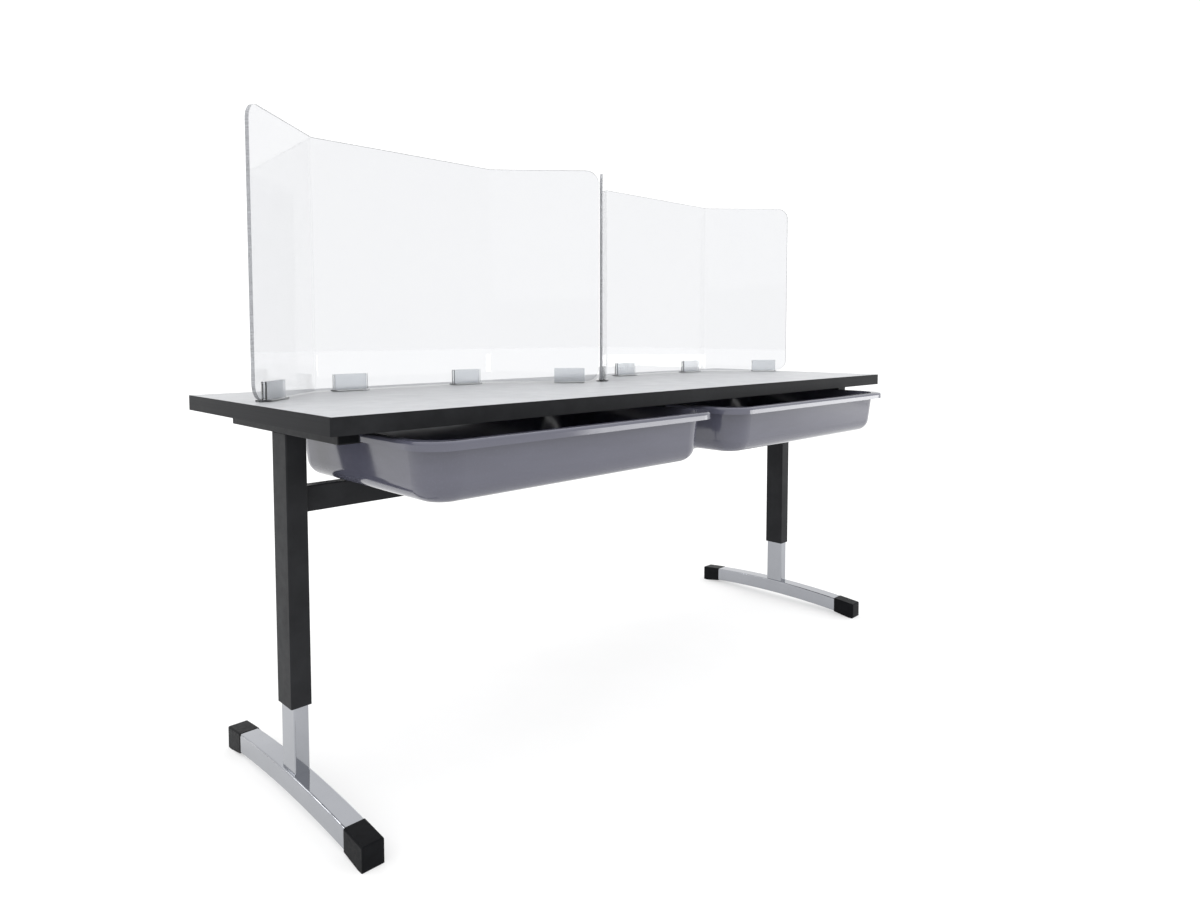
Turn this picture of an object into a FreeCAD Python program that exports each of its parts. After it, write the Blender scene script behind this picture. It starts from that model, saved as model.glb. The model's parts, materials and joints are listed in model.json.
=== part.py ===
import FreeCAD, Part
import math
import os

# Study carrel: a two-place reading table with T-shaped height-adjustable legs, two pull-out
# bins under the top and two clear folded screens that stand in slotted feet on the top.
#
# Frame: X runs along the long side to the right, Y towards the back, Z up from the floor.
# The origin is on the floor, under the middle of the whole footprint, bins included.
# Shapes are built about the middle of the worktop and moved back by frame_shift_y at the end.

V = FreeCAD.Vector

# ------------------------------------------------------------------ driving dimensions (mm)
# Worktop
top_length = 1524.0
top_depth = 527.0
top_thickness = 25.4
top_height = 639.2
laminate_thickness = 0.8
edge_band_thickness = 2.0
top_corner_radius = 3.0

# Legs: a square-cornered outer tube on each side with a slimmer tube telescoping inside it
leg_x = 700.8
upper_leg_width = 33.6
upper_leg_depth = 50.4
upper_leg_bottom = 158.0
lower_leg_width = 24.4
lower_leg_depth = 45.6
lower_leg_top = 484.0
tube_wall = 2.0
tube_edge_radius = 2.2

# Rails that carry the worktop on the legs
rail_height = 21.8
rail_front = -193.0
rail_back = 184.0
rail_wall = 1.6
rail_plug_depth = 12.0
rail_screw_offsets = (-165.0, -75.0, 75.0, 156.0)

# Feet: shallow arches, top surface on a circle about a centre far below the floor
foot_top = 49.3
foot_arch_radius = 2400.0
foot_height = 34.0
foot_width = 33.4
foot_edge_radius = 3.0
foot_half_length = 236.0
cap_end = 244.0
cap_inner_end = 190.0
cap_half_width = 17.5
cap_rise = 0.6
cap_heel = 7.0
cap_floor_start = 231.0
cap_edge_radius = 3.0
cap_plug_depth = 20.0

# Stretcher between the legs
stretcher_depth = 25.0
stretcher_height = 41.3
stretcher_bottom = 464.0
stretcher_wall = 1.6
bracket_thickness = 3.0
bracket_reach = 32.0
bracket_height = 30.0

# Bins: tapered tubs with a turned-down rim, standing partly pulled out
bin_centre_x = 345.0
bin_length = 644.0
bin_depth = 457.0
bin_front = -337.0
bin_rim_top = 602.0
bin_height = 93.0
bin_rim_corner = 54.0
bin_body_corner = 60.0
bin_rim_overhang = 14.0
bin_rim_drop = 13.0
bin_rim_round = 5.0
bin_wall = 2.5
bin_taper = 7.0
bin_base_round = 30.0
bin_closing_travel = 73.0

# Runners that carry the bin rims
runner_front = -160.0
runner_wall = 1.5
runner_side_gap = 0.5
runner_slide_gap = 0.3
runner_top_flange = 18.0
runner_ledge = 10.0
runner_stop_reach = 12.0
runner_screw_positions = (-130.0, 18.0, 165.0)

# Screens: one clear sheet each, folded twice
screen_pitch = 754.4
screen_panel = 402.0
screen_wing = 232.0
screen_wing_angle = 42.0
screen_y = 165.0
screen_sheet = 6.0
screen_top = 1097.0
screen_bend_radius = 12.0
screen_corner_radius = 28.0

# Slotted feet of the screens
clip_length = 66.0
clip_width = 26.0
clip_base = 2.6
clip_height = 32.0
clip_cheek = 3.0
clip_slot_gap = 0.3
clip_edge_radius = 0.6
clip_pad_thickness = 0.6
clip_pad_inset = 1.5
clip_from_bend = 69.0
clip_along_wing = 168.0

# Screws, bolts and nuts
rail_screw_radius = 2.25
rail_screw_head_radius = 4.6
rail_screw_head = 2.4
rail_screw_bite = 16.0
runner_screw_radius = 1.75
runner_screw_head_radius = 3.6
runner_screw_head = 1.8
runner_screw_bite = 12.0
lock_screw_radius = 4.0
lock_screw_head_radius = 5.5
lock_screw_head = 2.5
lock_nut_flats = 13.0
lock_nut_height = 2.5
lock_screw_heights = (186.0, 226.0)
lock_tip_gap = 0.3
lock_head_gap = 0.4
bracket_bolt_radius = 3.0
bracket_bolt_head_radius = 5.5
bracket_bolt_head = 3.2

# Plastic guides in the telescoping legs
glide_height = 42.0
glide_half_depth = 20.0
glide_gap = 0.3
guide_head = 4.0
guide_plug_depth = 22.0

# ------------------------------------------------------------------ derived levels
top_underside = top_height - top_thickness
core_bottom = top_underside + laminate_thickness
core_top = top_height - laminate_thickness
rail_bottom = top_underside - rail_height
foot_centre_z = foot_top - foot_arch_radius
bin_bottom = bin_rim_top - bin_height
bin_back = bin_front + bin_depth
skirt_bottom = bin_rim_top - bin_rim_drop
runner_back = bin_back + bin_closing_travel + runner_slide_gap
ledge_top = skirt_bottom - runner_slide_gap
frame_shift_y = -(bin_front + top_depth / 2) / 2

SIDES = (("left", -1), ("right", 1))


# ------------------------------------------------------------------ helpers
def box(x0, x1, y0, y1, z0, z1):
    """Box between two corners, given in either order along X."""
    low_x = min(x0, x1)
    return Part.makeBox(abs(x1 - x0), y1 - y0, z1 - z0, V(low_x, y0, z0))


def edges_along(shape, axis):
    """Straight edges of a shape that run parallel to an axis."""
    found = []
    for edge in shape.Edges:
        if isinstance(edge.Curve, Part.Line):
            run = edge.Vertexes[1].Point - edge.Vertexes[0].Point
            if run.cross(axis).Length < 1e-6 * run.Length:
                found.append(edge)
    return found


def rounded_bar(x0, x1, y0, y1, z0, z1, axis, radius):
    """Box whose four edges along one axis are rounded."""
    bar = box(x0, x1, y0, y1, z0, z1)
    return bar.makeFillet(radius, edges_along(bar, axis))


def tube_upright(cx, width, depth, z0, z1, wall):
    """Upright rectangular tube centred on (cx, 0)."""
    half_w = width / 2
    half_d = depth / 2
    outer = rounded_bar(cx - half_w, cx + half_w, -half_d, half_d, z0, z1, V(0, 0, 1), tube_edge_radius)
    inner = box(cx - half_w + wall, cx + half_w - wall, -half_d + wall, half_d - wall, z0 - 1, z1 + 1)
    return outer.cut(inner)


def rounded_rect_wire(cx, cy, half_x, half_y, radius, z):
    """Closed rectangle with round corners in a horizontal plane."""
    corners = ((1, -1), (1, 1), (-1, 1), (-1, -1))
    slant = radius * math.sqrt(0.5)
    edges = []
    ends = []
    for index, (sx, sy) in enumerate(corners):
        centre = V(cx + sx * (half_x - radius), cy + sy * (half_y - radius), z)
        side = centre + V(sx * radius, 0, 0)
        face = centre + V(0, sy * radius, 0)
        middle = centre + V(sx * slant, sy * slant, 0)
        first, last = (face, side) if index % 2 == 0 else (side, face)
        ends.append((first, middle, last))
    for index, (first, middle, last) in enumerate(ends):
        edges.append(Part.Arc(first, middle, last).toShape())
        following = ends[(index + 1) % len(ends)][0]
        edges.append(Part.LineSegment(last, following).toShape())
    return Part.Wire(edges)


def rounded_plate(half_x, half_y, radius, z0, z1, cx=0.0, cy=0.0):
    """Flat plate with round corners between two heights."""
    wire = rounded_rect_wire(cx, cy, half_x, half_y, radius, z0)
    return Part.Face(wire).extrude(V(0, 0, z1 - z0))


def cylinder_up(x, y, z0, z1, radius):
    return Part.makeCylinder(radius, z1 - z0, V(x, y, z0), V(0, 0, 1))


def cylinder_back(x, y0, y1, z, radius):
    return Part.makeCylinder(radius, y1 - y0, V(x, y0, z), V(0, 1, 0))


def hexagon_prism(flats, height, base, direction):
    """Hexagonal prism across the given flats, from base along direction."""
    circumradius = flats / math.sqrt(3)
    points = []
    for step in range(7):
        angle = math.radians(60 * step)
        points.append(V(circumradius * math.cos(angle), circumradius * math.sin(angle), 0))
    prism = Part.Face(Part.makePolygon(points)).extrude(V(0, 0, height))
    prism.Placement = FreeCAD.Placement(base, FreeCAD.Rotation(V(0, 0, 1), direction))
    return prism


def headed_screw(base, direction, head_radius, head_height, shank_radius, shank_length):
    """Screw with a domed head and a hexagonal recess; base is the outer face of the head."""
    head = Part.makeCylinder(head_radius, head_height, base, direction)
    rim = [edge for edge in head.Edges if (edge.CenterOfMass - base).Length < head_height / 4]
    head = head.makeFillet(head_height * 0.45, rim)
    shank = Part.makeCylinder(shank_radius, shank_length, base + direction * head_height, direction)
    recess = hexagon_prism(head_radius * 0.8, head_height * 0.55, base, direction)
    return head.fuse(shank).removeSplitter().cut(recess)


def arch_bar(half_width, top_radius, bottom_radius, y0, y1, edge_radius):
    """Bar bent to the arch of the feet, between two distances from the leg."""
    def on_arch(radius, y):
        return V(-half_width, y, foot_centre_z + math.sqrt(radius ** 2 - y ** 2))

    middle = (y0 + y1) / 2
    upper = Part.Arc(on_arch(top_radius, y0), on_arch(top_radius, middle), on_arch(top_radius, y1))
    lower = Part.Arc(on_arch(bottom_radius, y1), on_arch(bottom_radius, middle), on_arch(bottom_radius, y0))
    far_end = Part.LineSegment(on_arch(top_radius, y1), on_arch(bottom_radius, y1))
    near_end = Part.LineSegment(on_arch(bottom_radius, y0), on_arch(top_radius, y0))
    wire = Part.Wire([upper.toShape(), far_end.toShape(), lower.toShape(), near_end.toShape()])
    bar = Part.Face(wire).extrude(V(2 * half_width, 0, 0))
    if edge_radius > 0:
        curved = [edge for edge in bar.Edges if isinstance(edge.Curve, Part.Circle)]
        bar = bar.makeFillet(edge_radius, curved)
    return bar


# ------------------------------------------------------------------ worktop
def screw_holes_in_top():
    """Pilot holes in the board for the rail screws and the runner screws."""
    holes = []
    for _, sign in SIDES:
        for y in rail_screw_offsets:
            bite_top = top_underside + rail_screw_bite
            holes.append(cylinder_up(sign * leg_x, y, top_underside - 1, bite_top, rail_screw_radius))
    for x in runner_screw_lines():
        for y in runner_screw_positions:
            bite_top = top_underside + runner_screw_bite
            holes.append(cylinder_up(x, y, top_underside - 1, bite_top, runner_screw_radius))
    return Part.makeCompound(holes)


def board_half_sizes():
    return top_length / 2 - edge_band_thickness, top_depth / 2 - edge_band_thickness


def worktop_core():
    half_x, half_y = board_half_sizes()
    core = rounded_plate(half_x, half_y, top_corner_radius - edge_band_thickness, core_bottom, core_top)
    return core.cut(screw_holes_in_top())


def worktop_laminate():
    half_x, half_y = board_half_sizes()
    return rounded_plate(half_x, half_y, top_corner_radius - edge_band_thickness, core_top, top_height)


def worktop_backer():
    half_x, half_y = board_half_sizes()
    sheet = rounded_plate(half_x, half_y, top_corner_radius - edge_band_thickness, top_underside, core_bottom)
    return sheet.cut(screw_holes_in_top())


def worktop_edge_band():
    half_x, half_y = board_half_sizes()
    inner = rounded_plate(half_x, half_y, top_corner_radius - edge_band_thickness,
                          top_underside - 1, top_height + 1)
    band = rounded_plate(top_length / 2, top_depth / 2, top_corner_radius, top_underside, top_height)
    return band.cut(inner)


# ------------------------------------------------------------------ legs and rails
def top_rail(sign):
    half = upper_leg_width / 2
    cx = sign * leg_x
    rail = rounded_bar(cx - half, cx + half, rail_front, rail_back, rail_bottom, top_underside,
                       V(0, 1, 0), 1.5)
    hollow = box(cx - half + rail_wall, cx + half - rail_wall, rail_front - 1, rail_back + 1,
                 rail_bottom + rail_wall, top_underside - rail_wall)
    rail = rail.cut(hollow)
    for y in rail_screw_offsets:
        rail = rail.cut(cylinder_up(cx, y, rail_bottom - 1, top_underside + 1, rail_screw_radius))
    return rail


def rail_end_plugs(sign):
    """Plastic plugs pressed flush into both open ends of a rail."""
    half = upper_leg_width / 2 - rail_wall
    cx = sign * leg_x
    z0 = rail_bottom + rail_wall
    z1 = top_underside - rail_wall
    front = box(cx - half, cx + half, rail_front, rail_front + rail_plug_depth, z0, z1)
    back = box(cx - half, cx + half, rail_back - rail_plug_depth, rail_back, z0, z1)
    return Part.makeCompound([front, back])


def rail_screws(sign):
    screws = []
    shank = rail_height + rail_screw_bite
    for y in rail_screw_offsets:
        base = V(sign * leg_x, y, rail_bottom - rail_screw_head)
        screws.append(headed_screw(base, V(0, 0, 1), rail_screw_head_radius, rail_screw_head,
                                   rail_screw_radius, shank))
    return Part.makeCompound(screws)


def upper_leg(sign):
    leg = tube_upright(sign * leg_x, upper_leg_width, upper_leg_depth, upper_leg_bottom, rail_bottom,
                       tube_wall)
    wall_inside = upper_leg_depth / 2 - tube_wall - 1
    for z in lock_screw_heights:
        hole = cylinder_back(sign * leg_x, wall_inside, upper_leg_depth / 2 + 1, z, lock_screw_radius)
        leg = leg.cut(hole)
    return leg


def leg_glides(sign):
    """Two plastic pads inside the mouth of the outer tube, either side of the inner tube."""
    outside = upper_leg_width / 2 - tube_wall
    inside = lower_leg_width / 2 + glide_gap
    pads = []
    for side in (-1, 1):
        x0 = sign * leg_x + side * inside
        x1 = sign * leg_x + side * outside
        pads.append(box(x0, x1, -glide_half_depth, glide_half_depth, upper_leg_bottom,
                        upper_leg_bottom + glide_height))
    return Part.makeCompound(pads)


def height_lock_nuts(sign):
    """Nuts welded on the back of the outer tube for the clamping screws."""
    face = upper_leg_depth / 2
    nuts = []
    for z in lock_screw_heights:
        nut = hexagon_prism(lock_nut_flats, lock_nut_height, V(sign * leg_x, face, z), V(0, 1, 0))
        bore = cylinder_back(sign * leg_x, face - 1, face + lock_nut_height + 1, z, lock_screw_radius)
        nuts.append(nut.cut(bore))
    return Part.makeCompound(nuts)


def height_lock_screws(sign):
    """Clamping screws whose tips stop just short of the inner tube."""
    head_face = upper_leg_depth / 2 + lock_nut_height + lock_screw_head + lock_head_gap
    tip = lower_leg_depth / 2 + lock_tip_gap
    shank = head_face - lock_screw_head - tip
    screws = []
    for z in lock_screw_heights:
        base = V(sign * leg_x, head_face, z)
        screws.append(headed_screw(base, V(0, -1, 0), lock_screw_head_radius, lock_screw_head,
                                   lock_screw_radius, shank))
    return Part.makeCompound(screws)


def lower_leg(sign):
    """Inner tube, coped at its lower end to the arched top of the foot."""
    tube = tube_upright(sign * leg_x, lower_leg_width, lower_leg_depth, foot_top - 1, lower_leg_top,
                        tube_wall)
    arch = arch_bar(foot_width / 2, foot_arch_radius, foot_arch_radius - foot_height,
                    -foot_half_length, foot_half_length, 0)
    arch.translate(V(sign * leg_x, 0, 0))
    return tube.cut(arch)


def lower_leg_guide(sign):
    """Plastic plug in the top of the inner tube whose head steers it inside the outer tube."""
    cx = sign * leg_x
    head_x = upper_leg_width / 2 - tube_wall - glide_gap
    head_y = upper_leg_depth / 2 - tube_wall - glide_gap
    plug_x = lower_leg_width / 2 - tube_wall
    plug_y = lower_leg_depth / 2 - tube_wall
    head = box(cx - head_x, cx + head_x, -head_y, head_y, lower_leg_top, lower_leg_top + guide_head)
    plug = box(cx - plug_x, cx + plug_x, -plug_y, plug_y, lower_leg_top - guide_plug_depth, lower_leg_top)
    return head.fuse(plug).removeSplitter()


def foot(sign):
    tube = arch_bar(foot_width / 2, foot_arch_radius, foot_arch_radius - foot_height,
                    -foot_half_length, foot_half_length, foot_edge_radius)
    hollow = arch_bar(foot_width / 2 - tube_wall, foot_arch_radius - tube_wall,
                      foot_arch_radius - foot_height + tube_wall,
                      -foot_half_length - 1, foot_half_length + 1, 0)
    tube = tube.cut(hollow)
    tube.translate(V(sign * leg_x, 0, 0))
    return tube


def below_cap():
    """Everything under a cap: a slope from its inner end to the start of the flat on the floor."""
    depth = -2 * foot_height
    before = cap_inner_end - 1
    beyond = cap_end + 1
    slope = cap_heel / (cap_floor_start - cap_inner_end)
    profile = ((before, depth), (before, cap_heel + slope), (cap_floor_start, 0), (beyond, 0), (beyond, depth),
               (before, depth))
    wire = Part.makePolygon([V(-2 * cap_half_width, y, z) for y, z in profile])
    return Part.Face(wire).extrude(V(4 * cap_half_width, 0, 0))


def foot_cap(sign, end):
    """Plastic cap over one end of a foot; its underside slopes down to a flat on the floor."""
    shell = arch_bar(cap_half_width, foot_arch_radius + cap_rise, foot_arch_radius - 2 * foot_height,
                     cap_inner_end, cap_end, 0)
    shell = shell.cut(below_cap())
    outer_edges = []
    for edge in shell.Edges:
        long_top_edge = isinstance(edge.Curve, Part.Circle) and edge.BoundBox.YLength > cap_edge_radius
        if long_top_edge or edge.CenterOfMass.y > cap_end - 1e-3:
            outer_edges.append(edge)
    shell = shell.makeFillet(cap_edge_radius, outer_edges)
    socket = arch_bar(foot_width / 2, foot_arch_radius, foot_arch_radius - foot_height,
                      cap_inner_end - 1, foot_half_length, foot_edge_radius)
    plug = arch_bar(foot_width / 2 - tube_wall, foot_arch_radius - tube_wall,
                    foot_arch_radius - foot_height + tube_wall,
                    foot_half_length - cap_plug_depth, foot_half_length + 1, 0)
    cap = shell.cut(socket).fuse(plug).removeSplitter()
    if end < 0:
        cap = cap.mirror(V(0, 0, 0), V(0, 1, 0))
    cap.translate(V(sign * leg_x, 0, 0))
    return cap


# ------------------------------------------------------------------ stretcher
def bracket_bolt_places(sign):
    """Bolt positions (x, z) on one stretcher bracket."""
    inner_face = leg_x - upper_leg_width / 2
    x = sign * (inner_face - bracket_reach * 0.6)
    middle = stretcher_bottom + stretcher_height / 2
    return ((x, middle - bracket_height / 4), (x, middle + bracket_height / 4))


def stretcher():
    half = leg_x - upper_leg_width / 2
    z1 = stretcher_bottom + stretcher_height
    bar = rounded_bar(-half, half, -stretcher_depth / 2, stretcher_depth / 2, stretcher_bottom, z1,
                      V(1, 0, 0), 1.8)
    hollow = box(-half - 1, half + 1, -stretcher_depth / 2 + stretcher_wall,
                 stretcher_depth / 2 - stretcher_wall, stretcher_bottom + stretcher_wall,
                 z1 - stretcher_wall)
    bar = bar.cut(hollow)
    for _, sign in SIDES:
        for x, z in bracket_bolt_places(sign):
            bar = bar.cut(cylinder_back(x, 0, stretcher_depth, z, bracket_bolt_radius))
    return bar


def stretcher_bracket(sign):
    """Angle bracket behind the stretcher, fixed to the inner face of the leg."""
    leg_face = sign * (leg_x - upper_leg_width / 2)
    back = stretcher_depth / 2
    middle = stretcher_bottom + stretcher_height / 2
    z0 = middle - bracket_height / 2
    z1 = middle + bracket_height / 2
    along = box(leg_face, leg_face - sign * bracket_reach, back, back + bracket_thickness, z0, z1)
    upright = box(leg_face, leg_face - sign * bracket_thickness, back, upper_leg_depth / 2 - 1, z0, z1)
    bracket = along.fuse(upright).removeSplitter()
    for x, z in bracket_bolt_places(sign):
        bracket = bracket.cut(cylinder_back(x, 0, stretcher_depth, z, bracket_bolt_radius))
    return bracket


def stretcher_bolts():
    outer_face = stretcher_depth / 2 + bracket_thickness + bracket_bolt_head
    bolts = []
    for _, sign in SIDES:
        for x, z in bracket_bolt_places(sign):
            bolts.append(headed_screw(V(x, outer_face, z), V(0, -1, 0), bracket_bolt_head_radius,
                                      bracket_bolt_head, bracket_bolt_radius,
                                      bracket_thickness + stretcher_wall + 4))
    return Part.makeCompound(bolts)


# ------------------------------------------------------------------ bins and runners
def tub(cx, cy, inset, z_floor, base_round):
    """Solid tapered tub; inset shrinks it evenly to give the inside of the walls."""
    rim_x = bin_length / 2 - bin_rim_overhang - inset
    rim_y = bin_depth / 2 - bin_rim_overhang - inset
    corner = bin_body_corner - inset
    shrink = (bin_rim_top - z_floor) * math.tan(math.radians(bin_taper))
    upper = rounded_rect_wire(cx, cy, rim_x, rim_y, corner, bin_rim_top)
    lower = rounded_rect_wire(cx, cy, rim_x - shrink, rim_y - shrink, corner - shrink, z_floor)
    body = Part.makeLoft([lower, upper], True, True)
    base_edges = [edge for edge in body.Edges if edge.BoundBox.ZMax < z_floor + 1e-3]
    return body.makeFillet(base_round, base_edges)


def study_bin(sign):
    cx = sign * bin_centre_x
    cy = (bin_front + bin_back) / 2
    outside = tub(cx, cy, 0.0, bin_bottom, bin_base_round)
    inside = tub(cx, cy, bin_wall, bin_bottom + bin_wall, bin_base_round - bin_wall)
    rim = rounded_plate(bin_length / 2, bin_depth / 2, bin_rim_corner, skirt_bottom, bin_rim_top, cx, cy)
    top_edges = [edge for edge in rim.Edges if edge.BoundBox.ZMin > bin_rim_top - 1e-3]
    rim = rim.makeFillet(bin_rim_round, top_edges)
    under = rounded_plate(bin_length / 2 - bin_wall, bin_depth / 2 - bin_wall, bin_rim_corner - bin_wall,
                          skirt_bottom - 1, bin_rim_top - bin_wall, cx, cy)
    under_edges = [edge for edge in under.Edges if edge.BoundBox.ZMin > bin_rim_top - bin_wall - 1e-3]
    under = under.makeFillet(bin_rim_round - bin_wall, under_edges)
    shell = rim.cut(under.cut(outside)).fuse(outside).removeSplitter().cut(inside)
    mouth = [edge for edge in shell.Edges
             if edge.BoundBox.ZMin > bin_rim_top - 1e-3
             and abs(edge.BoundBox.Center.y - cy) < bin_depth / 2 - bin_rim_overhang
             and abs(edge.BoundBox.Center.x - cx) < bin_length / 2 - bin_rim_overhang]
    return shell.makeFillet(1.2, mouth)


def runner_webs():
    """Name, inner face of the web and the direction towards the bin, for the four runners."""
    webs = []
    for side, sign in SIDES:
        outer_face = sign * (bin_centre_x + bin_length / 2 + runner_side_gap)
        inner_face = sign * (bin_centre_x - bin_length / 2 - runner_side_gap)
        webs.append((side + "_bin_outer_runner", outer_face, -sign))
        webs.append((side + "_bin_inner_runner", inner_face, sign))
    return webs


def runner_screw_lines():
    return [face + toward * runner_top_flange * 0.45 for _, face, toward in runner_webs()]


def bin_runner(face, toward):
    """Channel with a flange under the worktop, a web, a ledge for the rim and a rear stop."""
    back_face = face - toward * runner_wall
    y0 = runner_front
    y1 = runner_back + runner_wall
    flange = box(back_face, face + toward * runner_top_flange, y0, y1, top_underside - runner_wall,
                 top_underside)
    web = box(back_face, face, y0, y1, ledge_top - runner_wall, top_underside)
    ledge = box(back_face, face + toward * runner_ledge, y0, y1, ledge_top - runner_wall, ledge_top)
    stop = box(back_face, face + toward * runner_stop_reach, runner_back, y1, ledge_top - runner_wall,
               bin_rim_top)
    runner = flange.fuse(web).fuse(ledge).fuse(stop).removeSplitter()
    x = face + toward * runner_top_flange * 0.45
    for y in runner_screw_positions:
        runner = runner.cut(cylinder_up(x, y, top_underside - 5, top_underside + 1, runner_screw_radius))
    return runner


def runner_screws():
    screws = []
    for x in runner_screw_lines():
        for y in runner_screw_positions:
            base = V(x, y, top_underside - runner_wall - runner_screw_head)
            screws.append(headed_screw(base, V(0, 0, 1), runner_screw_head_radius, runner_screw_head,
                                       runner_screw_radius, runner_wall + runner_screw_bite))
    return Part.makeCompound(screws)


# ------------------------------------------------------------------ screens and their feet
def wing_direction(end):
    """Unit vector along a wing, away from its bend; end is -1 for the left wing, 1 for the right."""
    angle = math.radians(screen_wing_angle)
    return V(end * math.cos(angle), -math.sin(angle), 0)


def screen_offset_line(cx, offset):
    """Corner points of the folded sheet, offset from its middle towards the back."""
    half_turn = math.radians(screen_wing_angle / 2)
    points = []
    for end in (-1, 1):
        along = wing_direction(end)
        across = V(-end * along.y, end * along.x, 0)
        bend = V(cx + end * (screen_panel / 2 + offset * math.tan(half_turn)), screen_y + offset, 0)
        tip = V(cx + end * screen_panel / 2, screen_y, 0) + along * screen_wing + across * offset
        points.append((tip, bend))
    return [points[0][0], points[0][1], points[1][1], points[1][0]]


def rounded_path(points, radius):
    """Edges through four points, with an arc of the given radius at the two middle ones."""
    edges = []
    start = points[0]
    for index in (1, 2):
        before = (points[index - 1] - points[index]).normalize()
        after = (points[index + 1] - points[index]).normalize()
        half_corner = before.getAngle(after) / 2
        reach = radius / math.tan(half_corner)
        first = points[index] + before * reach
        last = points[index] + after * reach
        inward = (before + after).normalize()
        middle = points[index] + inward * (radius / math.sin(half_corner) - radius)
        edges.append(Part.LineSegment(start, first).toShape())
        edges.append(Part.Arc(first, middle, last).toShape())
        start = last
    edges.append(Part.LineSegment(start, points[3]).toShape())
    return edges


def screen(cx):
    """Clear sheet folded to a back panel and two wings, with round free corners."""
    sheet_bottom = top_height + clip_pad_thickness + clip_base
    half = screen_sheet / 2
    rear = screen_offset_line(cx, half)
    front = screen_offset_line(cx, -half)
    rear_edges = rounded_path(rear, screen_bend_radius + screen_sheet)
    front_edges = rounded_path(front, screen_bend_radius)
    closing = [Part.LineSegment(rear[3], front[3]).toShape(), Part.LineSegment(front[0], rear[0]).toShape()]
    wire = Part.Wire(Part.__sortEdges__(rear_edges + front_edges + closing))
    wire.translate(V(0, 0, sheet_bottom))
    sheet = Part.Face(wire).extrude(V(0, 0, screen_top - sheet_bottom))
    corners = []
    for end, pair in ((-1, (front[0], rear[0])), (1, (front[3], rear[3]))):
        tip = (pair[0] + pair[1]) * 0.5
        for edge in sheet.Edges:
            level = edge.BoundBox.ZLength < 1e-6
            near = (V(edge.CenterOfMass.x, edge.CenterOfMass.y, 0) - tip).Length < 1e-3
            if level and near:
                corners.append(edge)
    return sheet.makeFillet(screen_corner_radius, corners)


def clip_places(cx):
    """Name, centre on the worktop and direction along the sheet, for the feet of one screen."""
    half = screen_panel / 2
    left_bend = V(cx - half, screen_y, 0)
    right_bend = V(cx + half, screen_y, 0)
    along_back = V(1, 0, 0)
    return (
        ("left_wing_foot", left_bend + wing_direction(-1) * clip_along_wing, wing_direction(-1) * -1),
        ("back_left_foot", left_bend + along_back * clip_from_bend, along_back),
        ("back_right_foot", right_bend - along_back * clip_from_bend, along_back),
        ("right_wing_foot", right_bend + wing_direction(1) * clip_along_wing, wing_direction(1)),
    )


def placed_on_top(shape, centre, along):
    """Turn a shape built along X about the origin and set it on the worktop."""
    turn = FreeCAD.Rotation(V(1, 0, 0), along)
    shape.Placement = FreeCAD.Placement(centre + V(0, 0, top_height), turn)
    return shape


def screen_foot(centre, along):
    """Clear clip: a base strip with two cheeks bonded on it that leave a slot for the sheet."""
    half = clip_length / 2
    slot = screen_sheet / 2 + clip_slot_gap
    cheek = slot + clip_cheek
    z0 = clip_pad_thickness
    z1 = z0 + clip_base
    upright = V(0, 0, 1)
    strips = [
        rounded_bar(-half, half, -clip_width / 2, clip_width / 2, z0, z1, upright, clip_edge_radius),
        rounded_bar(-half, half, -cheek, -slot, z1, clip_height, upright, clip_edge_radius),
        rounded_bar(-half, half, slot, cheek, z1, clip_height, upright, clip_edge_radius),
    ]
    return placed_on_top(Part.makeCompound(strips), centre, along)


def screen_foot_pads(cx):
    """Double-sided pads that hold the feet of one screen to the worktop."""
    half_length = clip_length / 2 - clip_pad_inset
    half_width = clip_width / 2 - clip_pad_inset
    pads = []
    for _, centre, along in clip_places(cx):
        pad = box(-half_length, half_length, -half_width, half_width, 0, clip_pad_thickness)
        pads.append(placed_on_top(pad, centre, along))
    return Part.makeCompound(pads)


# ------------------------------------------------------------------ assembly
def all_nodes():
    nodes = {
        "worktop_core": worktop_core(),
        "worktop_laminate": worktop_laminate(),
        "worktop_backer": worktop_backer(),
        "worktop_edge_band": worktop_edge_band(),
        "stretcher": stretcher(),
        "stretcher_bolts": stretcher_bolts(),
        "runner_screws": runner_screws(),
    }
    for side, sign in SIDES:
        nodes[side + "_top_rail"] = top_rail(sign)
        nodes[side + "_rail_end_plugs"] = rail_end_plugs(sign)
        nodes[side + "_rail_screws"] = rail_screws(sign)
        nodes[side + "_upper_leg"] = upper_leg(sign)
        nodes[side + "_leg_glides"] = leg_glides(sign)
        nodes[side + "_height_lock_nuts"] = height_lock_nuts(sign)
        nodes[side + "_height_lock_screws"] = height_lock_screws(sign)
        nodes[side + "_lower_leg"] = lower_leg(sign)
        nodes[side + "_lower_leg_guide"] = lower_leg_guide(sign)
        nodes[side + "_foot"] = foot(sign)
        nodes[side + "_front_foot_cap"] = foot_cap(sign, -1)
        nodes[side + "_rear_foot_cap"] = foot_cap(sign, 1)
        nodes[side + "_stretcher_bracket"] = stretcher_bracket(sign)
        nodes[side + "_bin"] = study_bin(sign)
        screen_x = sign * screen_pitch / 2
        nodes[side + "_screen"] = screen(screen_x)
        nodes[side + "_screen_foot_pads"] = screen_foot_pads(screen_x)
        for name, centre, along in clip_places(screen_x):
            nodes[side + "_screen_" + name] = screen_foot(centre, along)
    for name, face, toward in runner_webs():
        nodes[name] = bin_runner(face, toward)
    return nodes


def main():
    os.makedirs("parts", exist_ok=True)
    for name, shape in all_nodes().items():
        shape.translate(V(0, frame_shift_y, 0))
        shape.exportStep("parts/" + name + ".step")
        size = shape.BoundBox
        print(name, len(shape.Solids), shape.isValid(), round(shape.Volume / 1000, 1), "cm3",
              [round(value, 1) for value in (size.XMin, size.XMax, size.YMin, size.YMax, size.ZMin, size.ZMax)])


main()
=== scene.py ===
import json
import math

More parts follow.
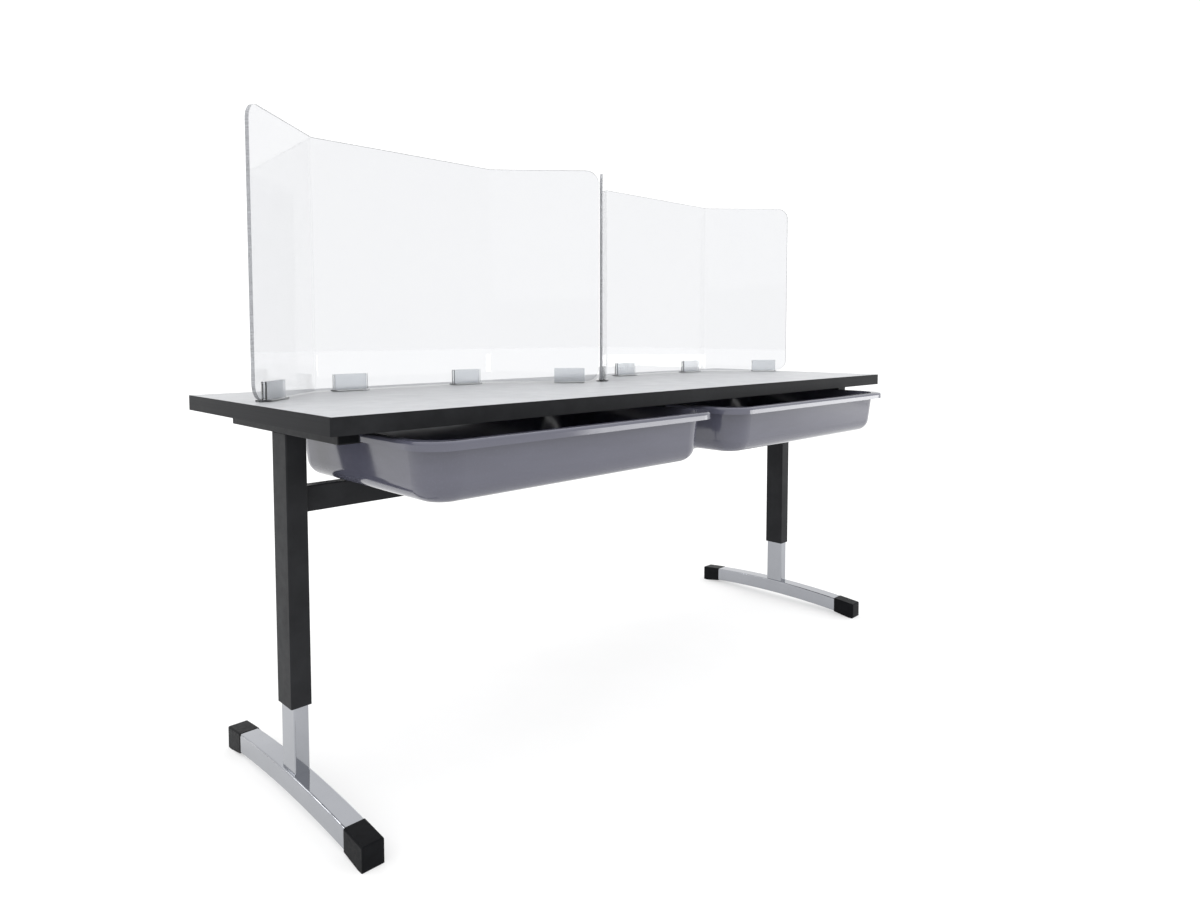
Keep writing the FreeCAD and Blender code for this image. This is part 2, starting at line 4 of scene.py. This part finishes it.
import bpy
import bmesh
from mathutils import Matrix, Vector


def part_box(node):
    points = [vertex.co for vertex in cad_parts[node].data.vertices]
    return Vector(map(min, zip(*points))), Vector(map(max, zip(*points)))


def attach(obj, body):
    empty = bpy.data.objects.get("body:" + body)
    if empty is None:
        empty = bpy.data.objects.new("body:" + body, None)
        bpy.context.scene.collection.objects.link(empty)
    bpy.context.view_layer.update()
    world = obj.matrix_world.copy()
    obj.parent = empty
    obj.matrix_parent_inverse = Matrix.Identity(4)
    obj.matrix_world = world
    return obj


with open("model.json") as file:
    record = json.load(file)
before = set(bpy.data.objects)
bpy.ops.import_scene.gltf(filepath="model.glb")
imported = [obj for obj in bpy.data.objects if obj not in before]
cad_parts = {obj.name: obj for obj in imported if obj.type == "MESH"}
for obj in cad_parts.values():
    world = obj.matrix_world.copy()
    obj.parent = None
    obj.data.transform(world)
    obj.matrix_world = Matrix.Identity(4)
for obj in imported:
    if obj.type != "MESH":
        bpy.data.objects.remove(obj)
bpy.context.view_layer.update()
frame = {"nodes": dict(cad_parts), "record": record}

NODES = frame["nodes"]
MM = 0.001
SIDES = ("left", "right")

# ---------------------------------------------------------------- camera
CAMERA_PLACE = (-1.2395, -1.1903, 0.7470)
CAMERA_TURN = (86.73, 0.0, -45.07)
CAMERA_LENS = 23.98
CAMERA_SENSOR = 36.0
CAMERA_SHIFT_Y = -0.0592
CAMERA_NEAR = 0.05
CAMERA_FAR = 200.0


def make_camera():
    data = bpy.data.cameras.new("view")
    data.sensor_fit = "HORIZONTAL"
    data.sensor_width = CAMERA_SENSOR
    data.lens = CAMERA_LENS
    data.shift_y = CAMERA_SHIFT_Y
    data.clip_start = CAMERA_NEAR
    data.clip_end = CAMERA_FAR
    camera = bpy.data.objects.new("view", data)
    camera.location = CAMERA_PLACE
    camera.rotation_euler = tuple(math.radians(angle) for angle in CAMERA_TURN)
    bpy.context.scene.collection.objects.link(camera)
    bpy.context.scene.camera = camera


# ---------------------------------------------------------------- node graph helpers
class Graph:
    """One material's node tree, with short calls for the nodes that the finishes share."""

    def __init__(self, name):
        self.material = bpy.data.materials.new(name)
        self.material.use_nodes = True
        self.tree = self.material.node_tree
        self.tree.nodes.clear()
        self.out = self.tree.nodes.new("ShaderNodeOutputMaterial")
        self.shader = self.tree.nodes.new("ShaderNodeBsdfPrincipled")
        self.tree.links.new(self.shader.outputs["BSDF"], self.out.inputs["Surface"])
        coordinates = self.tree.nodes.new("ShaderNodeTexCoord")
        self.place = coordinates.outputs["Object"]

    def link(self, source, target):
        self.tree.links.new(source, target)

    def stretched(self, scale):
        """Object coordinates scaled by a different factor along each axis."""
        mapping = self.tree.nodes.new("ShaderNodeMapping")
        mapping.inputs["Scale"].default_value = scale
        self.link(self.place, mapping.inputs["Vector"])
        return mapping.outputs["Vector"]

    def noise(self, scale, detail=2.0, roughness=0.5, place=None):
        node = self.tree.nodes.new("ShaderNodeTexNoise")
        node.inputs["Scale"].default_value = scale
        node.inputs["Detail"].default_value = detail
        node.inputs["Roughness"].default_value = roughness
        self.link(place or self.place, node.inputs["Vector"])
        return node.outputs["Fac"]

    def cells(self, scale, output="Distance"):
        node = self.tree.nodes.new("ShaderNodeTexVoronoi")
        node.inputs["Scale"].default_value = scale
        self.link(self.place, node.inputs["Vector"])
        return node.outputs[output]

    def ramp(self, value, stops):
        node = self.tree.nodes.new("ShaderNodeValToRGB")
        while len(node.color_ramp.elements) < len(stops):
            node.color_ramp.elements.new(0.5)
        for element, (position, colour) in zip(node.color_ramp.elements, stops):
            element.position = position
            element.color = (*colour, 1.0)
        self.link(value, node.inputs["Fac"])
        return node.outputs["Color"]

    def range(self, value, low, high, start=0.3, end=0.7):
        """Map the useful middle of a noise to a range of values."""
        node = self.tree.nodes.new("ShaderNodeMapRange")
        node.inputs["From Min"].default_value = start
        node.inputs["From Max"].default_value = end
        node.inputs["To Min"].default_value = low
        node.inputs["To Max"].default_value = high
        self.link(value, node.inputs["Value"])
        return node.outputs["Result"]

    def math(self, operation, first, second):
        node = self.tree.nodes.new("ShaderNodeMath")
        node.operation = operation
        for socket, value in zip(node.inputs, (first, second)):
            if isinstance(value, (int, float)):
                socket.default_value = value
            else:
                self.link(value, socket)
        return node.outputs["Value"]

    def mix(self, factor, first, second):
        node = self.tree.nodes.new("ShaderNodeMix")
        node.data_type = "RGBA"
        sockets = [s for s in node.inputs if s.enabled]
        for socket, value in zip(sockets, (factor, first, second)):
            if isinstance(value, (int, float)):
                socket.default_value = value
            elif isinstance(value, tuple):
                socket.default_value = (*value, 1.0)
            else:
                self.link(value, socket)
        return [s for s in node.outputs if s.enabled][0]

    def bump(self, height, strength, distance):
        node = self.tree.nodes.new("ShaderNodeBump")
        node.inputs["Strength"].default_value = strength
        node.inputs["Distance"].default_value = distance
        self.link(height, node.inputs["Height"])
        self.link(node.outputs["Normal"], self.shader.inputs["Normal"])

    def set(self, **values):
        names = {"metallic": "Metallic", "ior": "IOR", "specular": "Specular IOR Level",
                 "transmission": "Transmission Weight", "glow": "Emission Strength"}
        for key, value in values.items():
            self.shader.inputs[names[key]].default_value = value

    def colour(self, source):
        self.link(source, self.shader.inputs["Base Color"])

    def roughness(self, source):
        self.link(source, self.shader.inputs["Roughness"])


# ---------------------------------------------------------------- finishes
def shade(colour, factor):
    return tuple(channel * factor for channel in colour)


def grey_laminate():
    """Light grey laminate: fine dark and pale flecks over a faint mottle, satin."""
    g = Graph("grey_laminate")
    base = (0.408, 0.416, 0.430)
    cloud = g.noise(9.0, 4.0, 0.6)
    mottle = g.ramp(cloud, ((0.35, shade(base, 0.965)), (0.65, shade(base, 1.03))))
    dark = g.range(g.noise(430.0, 2.0, 0.6), 1.0, 0.0, 0.30, 0.42)
    flecked = g.mix(g.math("MULTIPLY", dark, 0.34), mottle, shade(base, 0.52))
    pale = g.range(g.noise(610.0, 2.0, 0.6), 0.0, 1.0, 0.60, 0.70)
    g.colour(g.mix(g.math("MULTIPLY", pale, 0.45), flecked, shade(base, 1.42)))
    g.roughness(g.range(g.noise(24.0, 5.0, 0.6), 0.36, 0.50))
    g.set(specular=0.45)
    g.bump(g.noise(900.0, 3.0, 0.6), 0.16, 0.15 * MM)
    return g.material


def particleboard():
    """Pressed chips: flat cells of different browns under a fine grain."""
    g = Graph("particleboard")
    chips = g.cells(260.0, "Color")
    tone = g.tree.nodes.new("ShaderNodeSeparateColor")
    g.link(chips, tone.inputs["Color"])
    browns = ((0.0, (0.26, 0.18, 0.105)), (0.5, (0.42, 0.31, 0.19)), (1.0, (0.56, 0.44, 0.29)))
    tan = g.ramp(tone.outputs["Red"], browns)
    grain = g.noise(700.0, 4.0, 0.7)
    g.colour(g.mix(g.range(grain, 0.0, 0.35), tan, (0.19, 0.13, 0.08)))
    g.roughness(g.range(grain, 0.75, 0.92))
    g.bump(g.cells(260.0), 0.4, 0.3 * MM)
    return g.material


def dark_backer():
    """Matt backing sheet with a soft paper grain and a few long rub marks."""
    g = Graph("dark_backer")
    base = (0.030, 0.030, 0.031)
    cloud = g.noise(14.0, 5.0, 0.65)
    g.colour(g.ramp(cloud, ((0.3, shade(base, 0.8)), (0.7, shade(base, 1.3)))))
    rubs = g.noise(1.0, 3.0, 0.6, g.stretched((6.0, 180.0, 6.0)))
    g.roughness(g.math("ADD", g.range(cloud, 0.50, 0.62), g.range(rubs, 0.0, -0.10, 0.55, 0.70)))
    g.set(specular=0.35)
    g.bump(g.noise(650.0, 3.0, 0.6), 0.25, 0.12 * MM)
    return g.material


def black_edge():
    """Satin edge band: extruded, so its faint lines run along the edge."""
    g = Graph("black_edge")
    base = (0.0150, 0.0154, 0.0168)
    cloud = g.noise(22.0, 4.0, 0.6)
    g.colour(g.ramp(cloud, ((0.3, shade(base, 0.82)), (0.7, shade(base, 1.30)))))
    lines = g.noise(1.0, 3.0, 0.6, g.stretched((3.0, 3.0, 900.0)))
    g.roughness(g.math("ADD", g.range(cloud, 0.34, 0.44), g.range(lines, -0.04, 0.05)))
    g.set(specular=0.035)
    grain = g.math("MULTIPLY", g.noise(1300.0, 2.0), 0.6)
    g.bump(g.math("ADD", grain, g.math("MULTIPLY", lines, 0.4)), 0.22, 0.10 * MM)
    return g.material


def black_frame():
    """Powder coat: orange-peel skin, slightly uneven sheen, a few tiny nibs."""
    g = Graph("black_frame")
    base = (0.0172, 0.0177, 0.0192)
    cloud = g.noise(16.0, 5.0, 0.62)
    tone = g.ramp(cloud, ((0.3, shade(base, 0.84)), (0.7, shade(base, 1.25))))
    nibs = g.range(g.noise(520.0, 1.0), 0.0, 1.0, 0.72, 0.78)
    g.colour(g.mix(g.math("MULTIPLY", nibs, 0.5), tone, shade(base, 2.4)))
    g.roughness(g.range(g.noise(60.0, 4.0, 0.6), 0.33, 0.45))
    g.set(specular=0.065)
    peel = g.math("ADD", g.noise(560.0, 2.0, 0.55), g.math("MULTIPLY", g.noise(1500.0, 1.0), 0.3))
    g.bump(peel, 0.22, 0.16 * MM)
    return g.material


def chrome_tube():
    """Bright plate over drawn tube: near mirror, with faint draw lines and hazy patches."""
    g = Graph("chrome_tube")
    base = (0.355, 0.365, 0.390)
    cloud = g.noise(12.0, 4.0, 0.6)
    g.colour(g.ramp(cloud, ((0.3, shade(base, 0.965)), (0.7, shade(base, 1.035)))))
    lines = g.noise(1.0, 4.0, 0.65, g.stretched((700.0, 18.0, 18.0)))
    fog = g.range(g.noise(45.0, 5.0, 0.65), 0.035, 0.085)
    g.roughness(g.math("ADD", fog, g.range(lines, 0.0, 0.035)))
    g.set(metallic=1.0)
    g.bump(g.math("ADD", g.math("MULTIPLY", lines, 0.5), g.noise(38.0, 2.0)), 0.035, 0.25 * MM)
    return g.material


def black_plastic():
    """Moulded caps and plugs: spark-eroded grain, with a sheen that varies in patches."""
    g = Graph("black_plastic")
    base = (0.0040, 0.0043, 0.0052)
    cloud = g.noise(70.0, 4.0, 0.6)
    g.colour(g.ramp(cloud, ((0.3, shade(base, 0.80)), (0.7, shade(base, 1.40)))))
    g.roughness(g.range(g.noise(180.0, 4.0, 0.6), 0.34, 0.50))
    g.set(specular=0.06)
    g.bump(g.noise(1100.0, 3.0, 0.65), 0.32, 0.14 * MM)
    return g.material


def white_plastic():
    """Moulded glides: smooth, with soft flow marks and grey rubbing."""
    g = Graph("white_plastic")
    base = (0.62, 0.62, 0.60)
    flow = g.noise(1.0, 3.0, 0.6, g.stretched((60.0, 60.0, 14.0)))
    g.colour(g.ramp(flow, ((0.3, shade(base, 0.90)), (0.7, shade(base, 1.06)))))
    g.roughness(g.range(g.noise(140.0, 4.0, 0.6), 0.34, 0.50))
    g.bump(g.noise(420.0, 3.0, 0.6), 0.12, 0.12 * MM)
    return g.material


def grey_bin():
    """Glossy moulded bin, grey with a hint of violet: ripple, flow marks and hair scratches."""
    g = Graph("grey_bin")
    base = (0.075, 0.076, 0.103)
    flow = g.noise(1.0, 4.0, 0.6, g.stretched((5.0, 11.0, 26.0)))
    tone = g.ramp(flow, ((0.32, shade(base, 0.94)), (0.68, shade(base, 1.06))))
    fleck = g.range(g.noise(380.0, 2.0, 0.6), 0.0, 0.16, 0.55, 0.72)
    g.colour(g.mix(fleck, tone, shade(base, 1.5)))
    scratches = g.noise(1.0, 3.0, 0.7, g.stretched((26.0, 26.0, 520.0)))
    sheen = g.range(g.noise(30.0, 5.0, 0.6), 0.07, 0.13)
    g.roughness(g.math("ADD", sheen, g.range(scratches, 0.0, 0.08, 0.60, 0.75)))
    g.set(specular=0.72)
    fine = g.math("MULTIPLY", g.noise(720.0, 2.0, 0.6), 0.25)
    skin = g.math("ADD", g.noise(75.0, 2.0, 0.5), fine)
    g.bump(skin, 0.05, 0.20 * MM)
    return g.material


def clear_acrylic(name, tint, low, high):
    """Clear acrylic: faint haze and a soft ripple."""
    g = Graph(name)
    haze = g.noise(7.0, 4.0, 0.6)
    g.colour(g.ramp(haze, ((0.3, shade(tint, 0.993)), (0.7, tint))))
    g.roughness(g.range(g.noise(22.0, 5.0, 0.65), low, high))
    g.set(transmission=1.0, ior=1.49)
    g.bump(g.noise(6.0, 2.0), 0.02, 0.5 * MM)
    return g.material


def sawn_edge():
    """Cut edge of clear acrylic: pale and frosted, with fine saw lines across the sheet."""
    g = Graph("sawn_edge")
    base = (0.74, 0.75, 0.77)
    lines = g.noise(1.0, 3.0, 0.7, g.stretched((60.0, 60.0, 420.0)))
    g.colour(g.ramp(lines, ((0.34, shade(base, 0.72)), (0.66, shade(base, 1.12)))))
    g.roughness(g.range(lines, 0.32, 0.55))
    g.set(specular=0.6)
    g.bump(lines, 0.3, 0.1 * MM)
    return g.material


def clear_pad():
    """Soft clear mounting tape, cloudy with trapped air."""
    g = Graph("clear_pad")
    base = (0.56, 0.58, 0.60)
    air = g.noise(160.0, 3.0, 0.6)
    g.colour(g.ramp(air, ((0.35, shade(base, 0.88)), (0.62, shade(base, 1.12)))))
    g.roughness(g.range(air, 0.35, 0.6))
    g.set(transmission=0.55, ior=1.42)
    g.bump(air, 0.2, 0.1 * MM)
    return g.material


def zinc_steel():
    """Zinc plate: bright, spangled with a slightly warm bloom."""
    g = Graph("zinc_steel")
    bloom = g.noise(240.0, 4.0, 0.65)
    g.colour(g.ramp(bloom, ((0.3, (0.46, 0.46, 0.45)), (0.7, (0.62, 0.62, 0.60)))))
    g.roughness(g.range(g.noise(520.0, 3.0, 0.6), 0.20, 0.38))
    g.set(metallic=1.0)
    g.bump(g.noise(900.0, 2.0), 0.15, 0.08 * MM)
    return g.material


def finishes():
    return {
        "grey_laminate": grey_laminate(),
        "particleboard": particleboard(),
        "dark_backer": dark_backer(),
        "black_edge": black_edge(),
        "black_frame": black_frame(),
        "chrome_tube": chrome_tube(),
        "black_plastic": black_plastic(),
        "white_plastic": white_plastic(),
        "grey_bin": grey_bin(),
        "clear_sheet": clear_acrylic("clear_sheet", (0.752, 0.758, 0.772), 0.012, 0.035),
        "clear_foot": clear_acrylic("clear_foot", (0.83, 0.845, 0.86), 0.10, 0.18),
        "sawn_edge": sawn_edge(),
        "clear_pad": clear_pad(),
        "zinc_steel": zinc_steel(),
    }


def dress_nodes(looks):
    """Give every node the finish of its record slot."""
    for part in frame["record"]["subparts"]:
        node = NODES[part["node"]]
        look = looks[part["material_slot"]]
        if not node.material_slots:
            node.data.materials.append(look)
        for slot in node.material_slots:
            slot.material = look


# ---------------------------------------------------------------- weld beads
BEAD_PITCH = 2.4 * MM
BEAD_RADIUS = 2.0 * MM
BEAD_SIDES = 8
BEAD_INSET = 2.5 * MM


def bead(name, path, radius, look, body):
    """Rippled fillet weld swept along a path of points."""
    mesh = bmesh.new()
    rings = []
    travelled = 0.0
    for index, point in enumerate(path):
        before = path[max(index - 1, 0)]
        after = path[min(index + 1, len(path) - 1)]
        ahead = (after - before).normalized()
        if index:
            travelled += (point - path[index - 1]).length
        across = ahead.cross(Vector((0, 0, 1)))
        if across.length < 0.1:
            across = ahead.cross(Vector((0, 1, 0)))
        across.normalize()
        up = across.cross(ahead).normalized()
        swell = 0.88 + 0.12 * math.cos(2 * math.pi * travelled / BEAD_PITCH)
        taper = min(1.0, 0.35 + 0.3 * min(index, len(path) - 1 - index))
        size = radius * swell * taper
        ring = []
        for step in range(BEAD_SIDES):
            angle = 2 * math.pi * step / BEAD_SIDES
            outward = across * math.cos(angle) + up * math.sin(angle)
            ring.append(mesh.verts.new(point + outward * size))
        rings.append(ring)
    for low, high in zip(rings, rings[1:]):
        for step in range(BEAD_SIDES):
            following = (step + 1) % BEAD_SIDES
            mesh.faces.new((low[step], low[following], high[following], high[step]))
    mesh.faces.new(list(reversed(rings[0])))
    mesh.faces.new(rings[-1])
    data = bpy.data.meshes.new(name)
    mesh.to_mesh(data)
    mesh.free()
    for polygon in data.polygons:
        polygon.use_smooth = True
    piece = bpy.data.objects.new(name, data)
    bpy.context.scene.collection.objects.link(piece)
    data.materials.append(look)
    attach(piece, body)
    return piece


def straight_path(start, end, step):
    start = Vector(start)
    end = Vector(end)
    count = max(int((end - start).length / step), 2)
    return [start.lerp(end, index / count) for index in range(count + 1)]


def rail_welds(side, looks):
    """Welds across the front and back of the outer tube where it meets the rail."""
    low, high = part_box(side + "_upper_leg")
    left_end = low.x + BEAD_INSET
    right_end = high.x - BEAD_INSET
    for end, y in (("front", low.y), ("back", high.y)):
        path = straight_path((left_end, y, high.z), (right_end, y, high.z), BEAD_PITCH / 4)
        name = side + "_rail_weld_" + end
        bead(name, path, BEAD_RADIUS, looks["black_frame"], "table")


# ---------------------------------------------------------------- cut edges of the screens
EDGE_SKIN = 0.12 * MM
EDGE_MERGE = 0.02 * MM
EDGE_FACING = 0.965
TIP_REACH = 12 * MM


def sheet_axes(node):
    """Middle line of a screen and the directions its two wing tips face."""
    low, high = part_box(node)
    middle = (low.x + high.x) / 2
    normals = {}
    mesh = NODES[node].data
    for end in (-1, 1):
        tip_x = low.x if end < 0 else high.x
        best = None
        for polygon in mesh.polygons:
            level = abs(polygon.normal.z) < 0.01
            outward = polygon.normal.x * end > 0.3
            near = abs(polygon.center.x - tip_x) < TIP_REACH
            facing_front = polygon.normal.y < -0.3
            if level and outward and near and facing_front and polygon.area > 0:
                if best is None or polygon.area > best.area:
                    best = polygon
        normals[end] = best.normal.copy()
    return middle, normals


def cut_edges(side, look):
    """Thin frosted ribbons just inside the wing tips, round corners and top of one screen."""
    node = side + "_screen"
    middle, tip_normals = sheet_axes(node)
    source = NODES[node].data
    ribbon = bmesh.new()
    for polygon in source.polygons:
        end = -1 if polygon.center.x < middle else 1
        outward = tip_normals[end]
        tilt = math.hypot(polygon.normal.dot(outward), polygon.normal.z)
        if tilt < EDGE_FACING or polygon.normal.dot(outward) < -0.01:
            continue
        spots = [source.vertices[i].co - polygon.normal * EDGE_SKIN for i in polygon.vertices]
        ribbon.faces.new([ribbon.verts.new(spot) for spot in spots])
    bmesh.ops.remove_doubles(ribbon, verts=ribbon.verts, dist=EDGE_MERGE)
    data = bpy.data.meshes.new(side + "_screen_cut_edges")
    ribbon.to_mesh(data)
    ribbon.free()
    data.materials.append(look)
    piece = bpy.data.objects.new(data.name, data)
    bpy.context.scene.collection.objects.link(piece)
    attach(piece, node)


# ---------------------------------------------------------------- surroundings
FLOOR_GLOW = 0.46
FLOOR_REACH = 30.0
WHITE = (1.0, 1.0, 1.0)


def make_floor():
    """Pale floor under the feet: it rides with them, so that they stand on it at every leg height."""
    mesh = bmesh.new()
    quarters = ((-1, -1), (1, -1), (1, 1), (-1, 1))
    corners = [(side_x * FLOOR_REACH, side_y * FLOOR_REACH, 0.0) for side_x, side_y in quarters]
    mesh.faces.new([mesh.verts.new(corner) for corner in corners])
    data = bpy.data.meshes.new("floor")
    mesh.to_mesh(data)
    mesh.free()
    floor = bpy.data.objects.new("floor", data)
    bpy.context.scene.collection.objects.link(floor)
    g = Graph("floor_paint")
    cloud = g.noise(3.0, 4.0, 0.6)
    g.colour(g.ramp(cloud, ((0.3, shade(WHITE, 0.46)), (0.7, shade(WHITE, 0.48)))))
    g.roughness(g.range(g.noise(9.0, 3.0), 0.7, 0.8))
    g.set(specular=0.0, glow=FLOOR_GLOW)
    g.shader.inputs["Emission Color"].default_value = (*WHITE, 1.0)
    data.materials.append(g.material)
    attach(floor, "left_lower_leg_and_foot")


def soft_light(name, place, target, size, power, colour, seen_in_gloss=False):
    """Rectangular lamp, hidden from the camera and behind clear sheets."""
    data = bpy.data.lights.new(name, "AREA")
    data.shape = "RECTANGLE"
    data.size, data.size_y = size
    data.energy = power
    data.color = colour
    lamp = bpy.data.objects.new(name, data)
    lamp.location = place
    aim = Vector(target) - Vector(place)
    lamp.rotation_euler = aim.to_track_quat("-Z", "Y").to_euler()
    lamp.visible_glossy = seen_in_gloss
    lamp.visible_camera = False
    lamp.visible_transmission = False
    bpy.context.scene.collection.objects.link(lamp)


BANK_COLOUR = (1.0, 0.998, 0.99)
BANK_TARGET = (0.0, 0.0, 0.5)
BANK_POWER = 12.0
GLINT_POWER = 3.6
STRIP_HEIGHT = 0.33
STRIP_POWER = 13.5
DOME_POWER = 1.7
DOME_SPREAD = 150.0
DOME_TILT = (8.0, -10.0, 0.0)
BRIGHT_SIDE = (0.66, 0.66, 0.36)
BRIGHT_SIDE_STRENGTH = 1.20
DIM_SIDE_STRENGTH = 1.10
BRIGHT_REACH = (-0.75, 0.45)
SHADED_SIDE = (-0.85, 0.53, 0.0)
SHADED_SIDE_STRENGTH = 0.89
SHADED_REACH = (0.46, 0.84)


def world_falloff(tree, facing, direction, reach, strengths):
    """Brightness of the surroundings, changing smoothly with the angle from one direction."""
    toward = tree.nodes.new("ShaderNodeVectorMath")
    toward.operation = "DOT_PRODUCT"
    toward.inputs[1].default_value = direction
    ramp = tree.nodes.new("ShaderNodeMapRange")
    for name, value in zip(("From Min", "From Max", "To Min", "To Max"), reach + strengths):
        ramp.inputs[name].default_value = value
    tree.links.new(facing, toward.inputs[0])
    tree.links.new(toward.outputs["Value"], ramp.inputs["Value"])
    return ramp.outputs["Result"]


def light_surroundings():
    """Pale surroundings, a little dimmer to the back left."""
    world = bpy.data.worlds.new("studio")
    world.use_nodes = True
    tree = world.node_tree
    background = tree.nodes["Background"]
    background.inputs["Strength"].default_value = 1.0
    facing = tree.nodes.new("ShaderNodeTexCoord").outputs["Generated"]
    bright_strengths = (DIM_SIDE_STRENGTH, BRIGHT_SIDE_STRENGTH)
    bright = world_falloff(tree, facing, BRIGHT_SIDE, BRIGHT_REACH, bright_strengths)
    shaded = world_falloff(tree, facing, SHADED_SIDE, SHADED_REACH, (1.0, SHADED_SIDE_STRENGTH))
    strength = tree.nodes.new("ShaderNodeMath")
    strength.operation = "MULTIPLY"
    tree.links.new(bright, strength.inputs[0])
    tree.links.new(shaded, strength.inputs[1])
    tree.links.new(strength.outputs["Value"], background.inputs["Color"])
    bpy.context.scene.world = world


def dome_light():
    """Very wide sun: soft light from above with faint shadows."""
    dome = bpy.data.lights.new("dome", "SUN")
    dome.energy = DOME_POWER
    dome.angle = math.radians(DOME_SPREAD)
    lamp = bpy.data.objects.new("dome", dome)
    lamp.rotation_euler = tuple(math.radians(angle) for angle in DOME_TILT)
    lamp.visible_glossy = False
    bpy.context.scene.collection.objects.link(lamp)


def light_studio():
    """Two soft banks, two lamps for glints on bright tubes and bin rims, and the dome."""
    light_surroundings()
    soft_light("left_bank", (-3.8, 0.9, 1.9), BANK_TARGET, (2.4, 2.4), BANK_POWER, BANK_COLOUR)
    soft_light("right_bank", (3.8, -1.4, 1.6), BANK_TARGET, (2.0, 2.0), BANK_POWER, BANK_COLOUR)
    near_foot = (-0.6, 0.0, 0.1)
    soft_light("left_glint", (-2.3, 3.0, 1.9), near_foot, (0.5, 0.5), GLINT_POWER, WHITE, True)
    strip_place = (2.75, -2.20, STRIP_HEIGHT)
    strip_target = (0.2, -0.3, STRIP_HEIGHT)
    soft_light("front_strip", strip_place, strip_target, (1.9, 0.54), STRIP_POWER, WHITE, True)
    dome_light()
    bpy.context.scene.view_settings.view_transform = "Standard"
    bpy.context.scene.view_settings.look = "None"


# ---------------------------------------------------------------- assembly
make_camera()
LOOKS = finishes()
dress_nodes(LOOKS)
for SIDE in SIDES:
    rail_welds(SIDE, LOOKS)
    cut_edges(SIDE, LOOKS["sawn_edge"])
make_floor()
light_studio()
